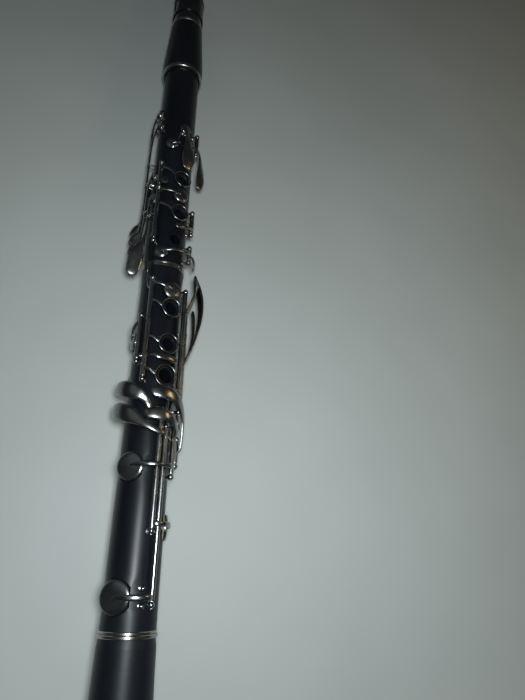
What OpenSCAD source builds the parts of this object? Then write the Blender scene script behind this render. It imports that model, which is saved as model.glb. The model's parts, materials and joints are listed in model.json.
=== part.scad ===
// B-flat Boehm-system clarinet: 17 keys and 6 rings.
// Origin at the centre of the bell mouth. +Y runs up the bore to the mouthpiece
// and +Z comes out of the front finger holes. Angles are taken round the bore
// from +Z towards +X, and radii from the bore's axis.

/* [Body] */
// Length of the bell
bell_len = 107; // [104:0.5:110]
// Radius of the bell at its mouth
bell_mouth_r = 40; // [38:0.5:42]
// Length of the lower joint between its shoulders
lower_len = 227.5; // [227:0.5:228]
// Length of the upper joint between its shoulders
upper_len = 192; // [191.5:0.5:193]
// Length of the barrel
barrel_len = 65; // [62:0.5:67]
// Length of the mouthpiece beyond the barrel
mouthpiece_len = 72; // [70:0.5:74]
// Radius of the bore
bore_r = 7.4; // [7.2:0.1:7.6]
// Radius of the lower joint at its bell end
lower_r0 = 15.3; // [15.1:0.1:15.4]
// Radius of the lower joint at its top
lower_r1 = 13.9; // [13.8:0.1:14]
// Radius of the upper joint
upper_r = 14.2; // [14.1:0.1:14.3]

/* [Keywork] */
// Radius of a hinge tube
tube_r = 1.6; // [1.5:0.05:1.65]
// Radius of a hinge rod
rod_r = 1; // [0.9:0.05:1]
// Running clearance between rod and tube
fit = 0.05; // [0.03:0.01:0.08]
// Radius of the ball on a hinge post
ball_r = 1.85; // [1.8:0.05:1.9]
// Turn of a ring key between open and closed, in degrees
ring_turn = 6; // [5:0.5:6]
// Turn of an open standing key between open and closed, in degrees
open_turn = 7.5; // [6.5:0.5:8]

/* [Hidden] */

// Heights of the joints up the bore
y_lower = bell_len;
y_upper = y_lower + lower_len;
y_barrel = y_upper + upper_len;
y_mouth = y_barrel + barrel_len;
y_tip = y_mouth + mouthpiece_len;

// Tenons and sockets
tenon_r = 11.4;
cork_r = 11.95;
socket_r = 12;
tenon_len = 17;
end_gap = 0.5;
ring_len = 1.6;
top_ring_h = 2.2;
ring_proud = 0.5;
ring_depth = 1.2;

// Pads and tone holes
pad_t = 2;
cup_wall = 0.5;
seat_gap = 0.1;
rim_t = 0.9;
chimney_gap = 0.7;

// Every pad: angle round the bore, place up the bore, radius of its cup, radius of its tone hole
LOW_E = [-61, 125, 8.6, 5.8];
LOW_F = [-62, 194, 8.3, 5.4];
F_SHARP = [62, 161.5, 7.4, 4.6];
A_FLAT = [92, 213, 7, 4.2];
LOWER_VENT = [0, 313, 6, 3];
B_PAD = [-100, 276.5, 6, 3.2];
UPPER_VENT = [0, 392.5, 5.6, 2.8];
A_PAD = [-3, 458.5, 4.4, 2];
G_SHARP = [-36, 441, 4.6, 2.2];
C_SHARP = [-38, 342.5, 4.8, 2.6];
E_FLAT = [84, 378, 5.2, 2.6];
THUMB_VENT = [202, 393, 4.4, 2];
REGISTER = [180, 509, 4.6, 1.4];
SIDE_1 = [-84, 390, 5.2, 2.8];
SIDE_2 = [-92, 413, 5, 2.6];
SIDE_3 = [-88, 463, 4.8, 2.4];
SIDE_4 = [-100, 478, 4.8, 2.4];

// Every ringed finger hole: place up the bore, inner radius of its ring
HOLE_1 = [407, 5.9];
HOLE_2 = [376.5, 5.9];
HOLE_4 = [299, 6.1];
HOLE_5 = [273, 6.1];
HOLE_6 = [251, 6.6];
THUMB_HOLE_Y = 405;
HOLE_3_Y = 356;
ring_w = 0.9;
ring_h = 1;
ring_top = 17.4;

// Every hinge line along the bore: angle and radius, then the places of its posts
UPPER_RINGS = [-57, 18, [350.5, 397.5, 420.5]];
THUMB_LINE = [-135, 17.6, [385, 414]];
G_LINE = [38, 18, [439, 459]];
E_LINE = [46, 18, [366, 385.5]];
C_LINE = [40, 18.5, [341, 352.8]];
LOWER_RINGS = [-48, 18, [247.3, 319.6]];
B_LINE = [-66, 18, [259.6, 292]];
F_SHARP_LINE = [-3.5, 18.5, [158.5, 228.2]];
LOW_E_LINE = [8.5, 18.5, [121.4, 218.6]];
LOW_F_LINE = [33, 18.5, [189.6, 220.4]];
A_FLAT_LINE = [52, 18.5, [197, 213.5]];
LEFT_FS_LINE = [36, 18.5, [240, 316]];
LEFT_E_LINE = [48.5, 18.5, [231, 302]];
LEFT_F_LINE = [61, 18.5, [222, 287]];
UPPER_LINES = [UPPER_RINGS, THUMB_LINE, G_LINE, E_LINE, C_LINE];
LOWER_LINES = [LOWER_RINGS, B_LINE, F_SHARP_LINE, LOW_E_LINE, LOW_F_LINE, A_FLAT_LINE,
    LEFT_FS_LINE, LEFT_E_LINE, LEFT_F_LINE];

// Every pivot across the bore: angle, radius, place, half the space between its posts, their radius
A_PIVOT = [0, 18, 449.5, 4.6, ball_r];
REGISTER_PIVOT = [180, 18.2, 448, 4.6, ball_r];
SIDE_PIVOTS = [[-76, 19.2, 372, 2.2, 0.9], [-90, 19.2, 378, 2.2, 0.9],
    [-104, 19.2, 406, 2.2, 0.9], [-118, 19.2, 428, 2.2, 0.9]];
pin_r = 0.55;
boss_r = 1.25;
side_half = 1.15;
end_play = 0.15;

// Radius of the wooden body at a place up the bore
function body_r(y) = y < y_upper
    ? lower_r0 + (lower_r1 - lower_r0) * (y - y_lower) / lower_len
    : upper_r;
function bell_out(y) = 15.6 + (bell_mouth_r - 15.6) * exp(-y / 24);
function bell_in(y) = 10.6 + (bell_mouth_r - 14.8) * exp(-y / 26);
// Height over the axis at which a flat rim of radius rh can stand on a round body
function seat_h(p) = sqrt(pow(body_r(p[1]), 2) - pow(p[3] + rim_t, 2)) + seat_gap;

// A point at an angle, radius and place up the bore
function at_cyl(a, r, y) = [r * sin(a), y, r * cos(a)];
function unit(v) = v / norm(v);
function padded(c) = [c[0], c[1], c[2], c[3], c[4], len(c) > 5 ? c[5] : 0];
function row(c, i) = c[max(0, min(len(c) - 1, i))];
// Catmull-Rom curve through rows of numbers
function between(p, q, r, s, t) = 0.5 * (2 * q + (r - p) * t
    + (2 * p - 5 * q + 4 * r - s) * t * t + (3 * q - p - 3 * r + s) * t * t * t);
function spline(c, n) = concat(
    [for (i = [0 : len(c) - 2]) for (k = [0 : n - 1])
        between(row(c, i - 1), row(c, i), row(c, i + 1), row(c, i + 2), k / n)],
    [c[len(c) - 1]]);
function pos(c) = at_cyl(c[0], c[1], c[2]);
function tangent(c, i) = unit(pos(row(c, i + 1)) - pos(row(c, i - 1)));
function side_way(c, i) = unit(cross(tangent(c, i), [sin(c[i][0]), 0, cos(c[i][0])]));
// Each frame: centre, width direction, thickness direction, half width, half thickness, tangent
function frames(c) = [for (i = [0 : len(c) - 1])
    let (t = tangent(c, i), b = side_way(c, i), n = cross(b, t), q = c[i][5])
    [pos(c[i]), b * cos(q) + n * sin(q), n * cos(q) - b * sin(q), c[i][3], c[i][4], t]];
function shrunk(f, way, q) = [f[0] + way * f[5] * f[3] * sin(q), f[1], f[2],
    f[3] * cos(q), f[4] * cos(q), f[5]];
function capped(f, start, finish) = concat(
    start ? [for (q = [75, 45, 20]) shrunk(f[0], -1, q)] : [], f,
    finish ? [for (q = [20, 45, 75]) shrunk(f[len(f) - 1], 1, q)] : []);
function soft_power(x, p) = sign(x) * pow(abs(x), p);
function section(f, n) = [for (j = [0 : n - 1]) let (q = 360 * j / n)
    f[0] + f[1] * f[3] * soft_power(cos(q), 0.8) + f[2] * f[4] * soft_power(sin(q), 0.8)];

// A lever or touch swept along rows of [angle, radius, y, half width, half thickness, roll]
module sweep(rows, steps = 3, n = 10, start = false, finish = false) {
    f = capped(frames(spline([for (c = rows) padded(c)], steps)), start, finish);
    m = len(f);
    polyhedron([for (g = f) each section(g, n)], concat(
        [[for (j = [n - 1 : -1 : 0]) j]],
        [for (i = [0 : m - 2]) for (j = [0 : n - 1]) let (k = (j + 1) % n)
            [i * n + j, (i + 1) * n + k, (i + 1) * n + j]],
        [for (i = [0 : m - 2]) for (j = [0 : n - 1]) let (k = (j + 1) % n)
            [i * n + j, i * n + k, (i + 1) * n + k]],
        [[for (j = [0 : n - 1]) (m - 1) * n + j]]));
}

// Local frame at a point: +Z outwards, +Y up the bore
module place(a, r, y) {
    rotate([0, a, 0]) translate([0, y, r]) children();
}
// The same with +Z up the bore
module along(a, r, y) {
    place(a, r, y) rotate([-90, 0, 0]) children();
}
// The same with +Z across the bore
module across(a, r, y) {
    place(a, r, y) rotate([0, 90, 0]) children();
}
// Turn round a hinge line that runs along the bore
module swing(line, deg) {
    c = at_cyl(line[0], line[1], 0);
    translate(c) rotate([0, deg, 0]) translate(-c) children();
}
// A round of the outline [radius, y] about the bore
module turned(outline) {
    rotate([-90, 0, 0]) rotate_extrude($fn = 96) polygon(outline);
}
module band(r0, r1, y0, y1) {
    turned([[r0, y0], [r1 - 0.3, y0], [r1, y0 + 0.3], [r1, y1 - 0.3], [r1 - 0.3, y1], [r0, y1]]);
}

// A key on a hinge tube between two places on a line
module tube_key(line, y0, y1) {
    difference() {
        union() {
            along(line[0], line[1], y0) cylinder(h = y1 - y0, r = tube_r, $fn = 32);
            children();
        }
        along(line[0], line[1], y0 - 2)
            cylinder(h = y1 - y0 + 4, r = rod_r + fit, $fn = 32);
    }
}
// A see-saw key on a short boss across its lever
module pivot_key(pivot, half, r_bore) {
    difference() {
        union() {
            across(pivot[0], pivot[1], pivot[2])
                translate([0, 0, -half]) cylinder(h = 2 * half, r = r_bore + 0.65, $fn = 32);
            children();
        }
        across(pivot[0], pivot[1], pivot[2])
            translate([0, 0, -half - 3]) cylinder(h = 2 * half + 6, r = r_bore + fit, $fn = 32);
    }
}
// Free stretch of a hinge line between post i and the next one
function from_post(line, i) = line[2][i] + ball_r + end_play;
function to_post(line, i) = line[2][i + 1] - ball_r - end_play;
module line_key(line, i = 0) {
    tube_key(line, from_post(line, i), to_post(line, i)) children();
}

// Domed metal cup over a pad that lies on its seat
module cup(p) {
    r = p[2];
    place(p[0], seat_h(p), p[1]) rotate_extrude($fn = 64) polygon(concat(
        [[0, pad_t], [r - cup_wall, pad_t], [r - cup_wall, 0.8], [r, 0.8], [r, pad_t - 0.2]],
        [for (q = [0 : 15 : 90]) [(r - 0.5) * cos(q), pad_t + 0.25 + 0.95 * sin(q)]]));
}
function cup_top(p) = seat_h(p) + pad_t + 1.2;
// Felt and skin pad inside the cup
module pad(p) {
    r = p[2] - cup_wall - 0.05;
    color("antiquewhite") place(p[0], seat_h(p), p[1]) rotate_extrude($fn = 64)
        polygon([[0, 0], [r - 0.6, 0], [r, 0.5], [r, pad_t], [0, pad_t]]);
}
// What a tone hole with a pad takes out of the body: a recess round a raised rim, and the hole
module pad_hole(p) {
    h = seat_h(p) - seat_gap;
    place(p[0], 0, p[1]) {
        difference() {
            translate([0, 0, h - 0.7]) cylinder(h = 9, r = p[2] + 0.7, $fn = 64);
            cylinder(h = h, r1 = p[3] + rim_t + 0.1, r2 = p[3] + rim_t, $fn = 64);
        }
        cylinder(h = h + 9, r = p[3], $fn = 48);
    }
}
module chimney(hole) {
    translate([0, hole[0], 0])
        cylinder(h = ring_top, r1 = hole[1] - chimney_gap + 1, r2 = hole[1] - chimney_gap, $fn = 64);
}
module finger_bore(y, r, h) {
    translate([0, y, 0]) {
        cylinder(h = h + 2, r = r, $fn = 48);
        translate([0, 0, h - 1.2]) cylinder(h = 2.4, r1 = r, r2 = r + 1.4, $fn = 48);
    }
}
// Ring round a finger hole and the arm that carries it from a hinge line on the left
module hole_ring(hole, line, arm_y) {
    r = hole[1];
    translate([0, hole[0], ring_top - ring_h]) rotate_extrude($fn = 64) polygon([
        [r, 0.2], [r + 0.2, 0], [r + ring_w - 0.2, 0], [r + ring_w, 0.2],
        [r + ring_w, ring_h - 0.3], [r + ring_w - 0.3, ring_h], [r + 0.3, ring_h], [r, ring_h - 0.3]]);
    edge = atan2(-r - ring_w / 2, ring_top - ring_h / 2);
    sweep([[line[0], line[1], arm_y, 1.5, 1], [line[0] + 12, line[1] + 0.7, arm_y, 1.3, 0.8],
        [edge - 7, 18.5, (arm_y + hole[0]) / 2, 1.2, 0.55],
        [edge, norm([r + ring_w / 2, ring_top - ring_h / 2]), hole[0] + 0.2 * (arm_y - hole[0]), 1.6, 0.4]]);
}

// ---- Bodies ----
rim_h = 3;
bell_ring_h = 1.8;
lower_socket = tenon_len + end_gap;
module bell() {
    floor_y = bell_len - lower_socket;
    color([0.07, 0.08, 0.1]) turned(concat(
        [[bell_in(0), 0], [bell_out(rim_h), 0], [bell_out(rim_h), rim_h]],
        [for (y = [rim_h + 2 : 4 : bell_len - bell_ring_h - 1]) [bell_out(y), y]],
        [[bell_out(bell_len) - ring_depth + ring_proud, bell_len - bell_ring_h],
         [bell_out(bell_len) - ring_depth + ring_proud, bell_len],
         [socket_r, bell_len], [socket_r, floor_y]],
        [for (y = [floor_y : -4 : 2]) [bell_in(y), y]]));
}
module bell_rings() {
    r = bell_out(rim_h);
    ring_in = bell_out(bell_len) - ring_depth + ring_proud;
    color("silver") {
        turned([[r, 0], [bell_mouth_r - 0.5, 0], [bell_mouth_r, 0.5], [bell_mouth_r - 0.2, 1.4],
            [r + 1.2, rim_h - 0.2], [r, rim_h]]);
        band(ring_in, ring_in + ring_depth, bell_len - bell_ring_h, bell_len);
    }
}
module lower_joint() {
    low_in = lower_r0 + ring_proud - ring_depth;
    top_in = lower_r1 + 1 - ring_depth;
    color([0.07, 0.08, 0.1]) difference() {
        union() {
            turned([[bore_r, y_lower - tenon_len], [tenon_r, y_lower - tenon_len], [tenon_r, y_lower],
                [low_in, y_lower], [low_in, y_lower + ring_len], [lower_r0, y_lower + ring_len],
                [body_r(y_upper - 12), y_upper - 12], [lower_r1 + 0.6, y_upper - top_ring_h],
                [top_in, y_upper - top_ring_h], [top_in, y_upper], [socket_r, y_upper],
                [socket_r, y_upper - lower_socket], [bore_r, y_upper - lower_socket]]);
            for (h = [HOLE_4, HOLE_5, HOLE_6]) chimney(h);
        }
        turned([[0, y_lower - tenon_len - 1], [bore_r + 2.6, y_lower - tenon_len - 1],
            [bore_r, y_lower + 60], [bore_r, y_upper], [0, y_upper]]);
        for (p = [LOW_E, LOW_F, F_SHARP, A_FLAT, LOWER_VENT, B_PAD]) pad_hole(p);
        finger_bore(HOLE_4[0], 3.9, ring_top);
        finger_bore(HOLE_5[0], 4, ring_top);
        finger_bore(HOLE_6[0], 4.4, ring_top);
    }
}
module lower_joint_rings() {
    low_in = lower_r0 + ring_proud - ring_depth;
    top_in = lower_r1 + 1 - ring_depth;
    color("silver") {
        band(low_in, low_in + ring_depth, y_lower, y_lower + ring_len);
        band(top_in, top_in + ring_depth, y_upper - top_ring_h, y_upper);
    }
}
bush_r = 6;
module upper_joint() {
    ring_in = upper_r + 0.7 - ring_depth;
    color([0.07, 0.08, 0.1]) difference() {
        union() {
            turned([[bore_r, y_upper - tenon_len], [tenon_r, y_upper - tenon_len], [tenon_r, y_upper],
                [ring_in, y_upper], [ring_in, y_upper + ring_len], [upper_r, y_upper + ring_len],
                [upper_r, y_barrel], [tenon_r, y_barrel], [tenon_r, y_barrel + tenon_len],
                [bore_r, y_barrel + tenon_len]]);
            for (h = [HOLE_1, HOLE_2]) chimney(h);
        }
        turned([[0, y_upper - tenon_len - 1], [bore_r, y_upper - tenon_len - 1],
            [bore_r, y_barrel + tenon_len + 1], [0, y_barrel + tenon_len + 1]]);
        for (p = [UPPER_VENT, A_PAD, G_SHARP, C_SHARP, E_FLAT, THUMB_VENT, REGISTER,
            SIDE_1, SIDE_2, SIDE_3, SIDE_4]) pad_hole(p);
        finger_bore(HOLE_1[0], 3.4, ring_top);
        finger_bore(HOLE_2[0], 3.8, ring_top);
        finger_bore(HOLE_3_Y, 3.8, upper_r);
        place(180, 0, THUMB_HOLE_Y) cylinder(h = upper_r + 2, r = bush_r, $fn = 48);
        place(180, 0, REGISTER[1]) cylinder(h = upper_r + 2, r = REGISTER[3] + rim_t, $fn = 48);
    }
}
module upper_joint_ring() {
    ring_in = upper_r + 0.7 - ring_depth;
    color("silver") band(ring_in, ring_in + ring_depth, y_upper, y_upper + ring_len);
}
module tenon_corks() {
    color("burlywood") for (y = [y_lower - 14, y_upper - 14, y_barrel + 3])
        band(tenon_r, cork_r, y, y + 11);
}
// Barrel: waisted towards the mouthpiece. Each point is [height over its foot, radius].
BARREL = [[3.4, 16.1], [9, 16.6], [18, 16.4], [29, 15.8], [41, 15], [53, 14.2], [61.9, 13.6]];
barrel_ring_h = [3.4, 3.1];
mouth_socket_r = 10.9;
module barrel() {
    top = y_mouth - barrel_ring_h[1];
    color([0.05, 0.05, 0.06]) turned(concat(
        [[socket_r, y_barrel], [15.3, y_barrel], [15.3, y_barrel + barrel_ring_h[0]]],
        [for (p = spline(BARREL, 3)) [p[1], y_barrel + p[0]]],
        [[12.6, top], [12.6, y_mouth], [mouth_socket_r, y_mouth],
         [mouth_socket_r, y_mouth - tenon_len], [bore_r, y_mouth - tenon_len],
         [bore_r, y_barrel + lower_socket + 2], [socket_r, y_barrel + lower_socket + 2]]));
}
module barrel_rings() {
    color("silver") {
        band(15.3, 16.5, y_barrel, y_barrel + barrel_ring_h[0]);
        band(12.6, 13.9, y_mouth - barrel_ring_h[1], y_mouth);
    }
}

// ---- Mouthpiece, reed and ligature ----
table_z = -8.6;
reed_t = 2.9;
facing = 0.05;
module side_cut(outline, w) {
    translate([-w / 2, 0, 0]) rotate([90, 0, 90]) linear_extrude(w) polygon(outline);
}
module mouthpiece() {
    m = y_mouth;
    color([0.03, 0.03, 0.035]) difference() {
        turned([[0, m - tenon_len + 0.6], [mouth_socket_r - 0.6, m - tenon_len + 0.6],
            [mouth_socket_r - 0.6, m], [12.9, m], [13.1, m + 0.8], [13, m + 4], [12.7, m + 10],
            [12.3, m + 37], [11.6, m + 48], [11, y_tip - 6], [10.6, y_tip], [0, y_tip]]);
        turned([[0, m - tenon_len - 1], [bore_r, m - tenon_len - 1], [bore_r, m + 22],
            [5.6, m + 34], [0, m + 34]]);
        side_cut([[m + 30, 5.4], [m + 42, 3.2], [y_tip - 8, -4.8], [y_tip - 2.6, table_z + 0.8],
            [y_tip - 2.6, table_z - 5], [m + 34, table_z - 5], [m + 33, table_z], [m + 30, -5.4]], 9.6);
        side_cut([[m + 41, 12.4], [m + 50, 7], [m + 61, 0.2], [y_tip - 3, -6], [y_tip + 1, -7.6],
            [y_tip + 1, 20], [m + 41, 20]], 40);
        side_cut([[m + 4, table_z], [y_tip + 1, table_z], [y_tip + 1, -20], [m + 4, -20]], 40);
    }
}
module mouthpiece_cork() {
    color("burlywood") band(mouth_socket_r - 0.6, mouth_socket_r - 0.05, y_mouth - 13, y_mouth - 3);
}
module reed() {
    z = table_z - facing;
    color("wheat") intersection() {
        side_cut([[y_mouth + 5, z], [y_tip - 0.5, z], [y_tip - 0.5, z - 0.15], [y_tip - 9, z - 0.7],
            [y_tip - 20, z - 1.7], [y_tip - 31, z - reed_t], [y_mouth + 5, z - reed_t]], 12.6);
        turned([[0, y_mouth], [12.6, y_mouth], [12.6, y_mouth + 45], [10.9, y_tip], [0, y_tip]]);
    }
}
lig_y = [10.5, 36];
lig_r = 12.8;
lig_screw_y = [16.5, 30];
module ligature() {
    y0 = y_mouth + lig_y[0];
    y1 = y_mouth + lig_y[1];
    color("silver") difference() {
        union() {
            turned([[lig_r, y0], [lig_r + 0.9, y0], [lig_r + 0.9, y0 + 1.2], [lig_r + 0.5, y0 + 1.8],
                [lig_r + 0.5, y1 - 1.8], [lig_r + 0.9, y1 - 1.2], [lig_r + 0.9, y1], [lig_r, y1]]);
            for (y = lig_screw_y) translate([0, y_mouth + y, 0]) {
                translate([-4.4, -3, -lig_r - 5.6]) cube([8.8, 6, 5.4]);
            }
        }
        turned([[0, y0 - 1], [lig_r, y0 - 1], [lig_r, y1 + 1], [0, y1 + 1]]);
        translate([-1.4, y0 - 1, -lig_r - 8]) cube([2.8, y1 - y0 + 2, 9]);
        for (y = lig_screw_y) translate([-8, y_mouth + y, -lig_r - 3]) rotate([0, 90, 0])
            cylinder(h = 16, r = 1.3, $fn = 32);
        for (s = [-1, 1]) rotate([0, 90 * s, 0]) translate([-3.5, y0 + 5, lig_r - 4])
            cube([7, y1 - y0 - 10, 8]);
    }
}
module ligature_screws() {
    color("silver") for (y = lig_screw_y) translate([0, y_mouth + y, -lig_r - 3]) rotate([0, 90, 0]) {
        translate([0, 0, -5.6]) cylinder(h = 11.4, r = 1.25, $fn = 32);
        translate([0, 0, 4.5]) cylinder(h = 3.4, r = 3.1, $fn = 24);
        translate([0, 0, 7.9]) cylinder(h = 0.8, r1 = 3.1, r2 = 2.2, $fn = 24);
    }
}

// ---- Posts, rods, springs and small fittings ----
foot_r = 12.4;
module post(a, r, y, ball) {
    place(a, 0, y) {
        translate([0, 0, foot_r]) cylinder(h = r - foot_r, r1 = ball * 0.72, r2 = ball * 0.6, $fn = 24);
        translate([0, 0, r]) sphere(r = ball, $fn = 32);
    }
}
module line_posts(lines) {
    for (l = lines) for (y = l[2]) post(l[0], l[1], y, ball_r);
}
module pivot_posts(p) {
    ball = p[4];
    off = p[3];
    for (s = [-1, 1]) place(p[0], 0, p[2]) translate([s * off, 0, 0]) {
        translate([0, 0, foot_r - 1.4]) cylinder(h = p[1] - foot_r + 1.4, r = ball * 0.7, $fn = 24);
        translate([0, 0, p[1]]) sphere(r = ball, $fn = 32);
    }
}
// Two small posts for springs beside the low E arm
SPRING_POSTS = [[-8, 17.6, 120.8], [-8, 17.6, 129.4]];
module lower_posts() {
    color("silver") {
        line_posts(LOWER_LINES);
        for (p = SPRING_POSTS) post(p[0], p[1], p[2], 1.6);
    }
}
module upper_posts() {
    color("silver") {
        line_posts(UPPER_LINES);
        for (p = concat([A_PIVOT, REGISTER_PIVOT], SIDE_PIVOTS)) pivot_posts(p);
    }
}
module line_rods(lines) {
    color("lightgray") for (l = lines) {
        y0 = l[2][0];
        y1 = l[2][len(l[2]) - 1];
        along(l[0], l[1], y0) cylinder(h = y1 - y0, r = rod_r, $fn = 32);
    }
}
module lower_rods() {
    line_rods(LOWER_LINES);
}
module upper_rods() {
    line_rods(UPPER_LINES);
    color("lightgray") for (p = concat([A_PIVOT, REGISTER_PIVOT], SIDE_PIVOTS))
        across(p[0], p[1], p[2]) translate([0, 0, -p[3]]) cylinder(h = 2 * p[3], r = pin_r, $fn = 24);
}
// Needle springs: each runs from a post under its hinge tube
module needle_springs() {
    long = 13;
    color("steelblue") for (s = [[UPPER_RINGS, 0, 1], [UPPER_RINGS, 2, -1], [LOWER_RINGS, 0, 1],
        [LOWER_RINGS, 1, -1], [F_SHARP_LINE, 0, 1], [LOW_E_LINE, 0, 1], [LOW_F_LINE, 0, 1],
        [THUMB_LINE, 1, -1], [LEFT_FS_LINE, 1, -1]])
        along(s[0][0], s[0][1] - tube_r - 0.7, s[0][2][s[1]] + (s[2] > 0 ? 0 : -long))
            cylinder(h = long, r = 0.3, $fn = 16);
}
rest_y = [252, 282];
rest_in = 14.5;
module thumb_rest() {
    color("silver") {
        difference() {
            translate([-4.8, rest_y[0], -rest_in - 1.7]) cube([9.6, rest_y[1] - rest_y[0], 6]);
            rotate([-90, 0, 0]) cylinder(h = 300, r = rest_in, $fn = 96);
        }
        side_cut([[266, -rest_in - 1.2], [262.5, -19], [259.5, -23], [258.5, -27], [260, -28],
            [262, -25], [265.5, -21], [270, -18], [276, -rest_in - 1.2]], 9);
    }
}
module thumb_rest_screws() {
    color("silver") for (y = [255.5, 279]) place(180, 0, y) {
        translate([0, 0, foot_r - 2]) cylinder(h = rest_in + 3.6 - foot_r, r = 1.1, $fn = 24);
        translate([0, 0, rest_in + 1.7]) difference() {
            cylinder(h = 1.1, r1 = 2.4, r2 = 1.8, $fn = 32);
            translate([-3, -0.3, 0.6]) cube([6, 0.6, 1]);
        }
    }
}
thumb_top = 16.2;
module tube_insert(a, y, r_out, r_in, z0, z1) {
    place(a, z0, y) difference() {
        cylinder(h = z1 - z0, r = r_out, $fn = 48);
        translate([0, 0, -1]) cylinder(h = z1 - z0 + 2, r = r_in, $fn = 48);
    }
}
module bushings() {
    color("silver") {
        tube_insert(180, THUMB_HOLE_Y, bush_r, 4.4, bore_r + 2.2, thumb_top);
        tube_insert(180, REGISTER[1], REGISTER[3] + rim_t, REGISTER[3], bore_r - 1.6,
            seat_h(REGISTER) - seat_gap);
    }
}

// ---- Keys of the upper joint ----
module register_key() {
    color("silver") pivot_key(REGISTER_PIVOT, A_PIVOT[3] - ball_r - end_play, pin_r) {
        cup(REGISTER);
        sweep([[180, cup_top(REGISTER) - 0.2, 509, 1.4, 0.6], [180, 17.9, 501, 1.5, 0.8],
            [180, 18.4, 478, 1.5, 0.9], [180, 18.4, 448, 1.7, 1], [180, 18.9, 434, 2.2, 0.9],
            [180, 19.6, 427, 3.6, 0.8], [180, 19.2, 420.5, 3.4, 0.7]], start = true, finish = true);
    }
}
module thumb_ring_key() {
    r = 6.7;
    color("silver") line_key(THUMB_LINE) swing(THUMB_LINE, ring_turn) {
        place(180, thumb_top - 1, THUMB_HOLE_Y) rotate_extrude($fn = 64) polygon([
            [r, 0], [r + 1, 0], [r + 1, 0.7], [r + 0.7, 1], [r, 1]]);
        sweep([[-135, 17.6, 407, 1.5, 0.9], [-145, 17.9, 406.5, 1.4, 0.7], [-154, 17.4, 406, 1.6, 0.45]]);
        cup(THUMB_VENT);
        sweep([[-135, 17.6, 393, 1.5, 0.9], [-145, 17.9, 393, 1.4, 0.7], [-156, 17.2, 393, 1.2, 0.5]],
            finish = true);
    }
}
module a_key() {
    color("silver") pivot_key(A_PIVOT, A_PIVOT[3] - ball_r - end_play, pin_r) {
        cup(A_PAD);
        sweep([[-3, cup_top(A_PAD) - 0.2, 458.5, 1.3, 0.5], [-1, 17.9, 454, 1.5, 0.7],
            [0, 18.2, 449.5, 1.8, 0.9],
            [1, 19.2, 443.5, 2.5, 0.9], [2, 20.6, 434, 4.6, 1], [3, 20.9, 426, 5.6, 1],
            [3.5, 20.2, 421, 4.4, 0.9]], n = 12, start = true, finish = true);
    }
}
module g_sharp_key() {
    color("silver") line_key(G_LINE) {
        cup(G_SHARP);
        sweep([[38, 18, 446, 1.4, 1], [28, 16.8, 444.5, 1.3, 0.6], [15, 15.7, 443.4, 1.3, 0.5],
            [0, 15.4, 443, 1.3, 0.45], [-12, 15.7, 442.7, 1.3, 0.45],
            [-20, 17.1, 442.2, 1.2, 0.45], [-27, 17.3, 441.6, 1.1, 0.45],
            [-35, cup_top(G_SHARP) - 0.15, 441, 1, 0.5]], finish = true);
        sweep([[38, 18, 446.5, 1.4, 1], [45, 19.7, 443.6, 1.6, 0.9], [49.5, 20.7, 439, 1.9, 0.9, -10],
            [52, 21.4, 430, 3.2, 0.9, -32], [53, 21.6, 420, 3.9, 0.9, -42],
            [53.5, 21.2, 414, 3.2, 0.8, -42]],
            n = 12, finish = true);
    }
}
// A see-saw side key: its boss, and a lever whose rows end at the touch
module side_key(pivot, p, rows) {
    color("silver") pivot_key(pivot, side_half, pin_r) {
        cup(p);
        sweep(concat([[p[0], cup_top(p) - 0.15, p[1], 1.4, 0.5]], rows), start = true, finish = true);
    }
}
module side_key_1() {
    side_key(SIDE_PIVOTS[0], SIDE_1, [[-80, 18.1, 385.3, 1.1, 0.6], [-77, 19.2, 378.5, 1, 0.7],
        [-76, 19.3, 372, 1, 0.8], [-77, 19.2, 362, 1, 0.7], [-80, 19.6, 354.5, 1.2, 0.8, 20],
        [-85, 21, 346, 3.6, 1, 62], [-90, 22.3, 337, 5.1, 1.1, 74], [-94, 22.8, 329.5, 4.6, 1, 76]]);
}
module side_key_2() {
    side_key(SIDE_PIVOTS[1], SIDE_2, [[-91, 18.2, 407, 1.1, 0.6], [-90, 19.2, 399, 1, 0.7],
        [-90, 19.3, 378, 1, 0.8], [-91, 19.2, 367, 1, 0.7], [-96, 20, 355.5, 1.2, 0.8, 20],
        [-101, 21.6, 350.5, 3.3, 1, 60], [-104, 22.6, 345, 4.1, 1, 78]]);
}
module side_key_3() {
    side_key(SIDE_PIVOTS[2], SIDE_3, [[-91, 18.1, 457, 1.1, 0.6], [-98, 19.2, 447, 1, 0.7],
        [-104, 19.2, 430, 1, 0.7], [-104, 19.3, 406, 1, 0.8], [-105, 19.2, 385, 1, 0.7],
        [-108, 20, 366.5, 1.2, 0.8, 20], [-111, 21.7, 361, 3.3, 1, 60],
        [-113, 22.6, 355.5, 4.1, 1, 82]]);
}
module side_key_4() {
    side_key(SIDE_PIVOTS[3], SIDE_4, [[-103, 18.1, 472, 1.1, 0.6], [-111, 19.2, 461, 1, 0.7],
        [-118, 19.2, 445, 1, 0.7], [-118, 19.3, 428, 1, 0.8], [-118, 19.2, 400, 1, 0.7],
        [-119, 20, 377, 1.2, 0.8, 20], [-120, 21.8, 371, 3.3, 1, 60],
        [-121, 22.8, 365.5, 4.1, 1, 82]]);
}
module first_ring_key() {
    color("silver") line_key(UPPER_RINGS, 1) swing(UPPER_RINGS, -ring_turn) {
        hole_ring(HOLE_1, UPPER_RINGS, 414.5);
        place(-44, 17.9, 402.5) cylinder(h = 0.9, r1 = 3.1, r2 = 2.7, $fn = 40);
        sweep([[-57, 18, 403, 1.5, 0.9], [-51, 18.5, 403, 1.3, 0.6], [-45, 18.5, 402.6, 1.2, 0.4]]);
    }
}
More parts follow.
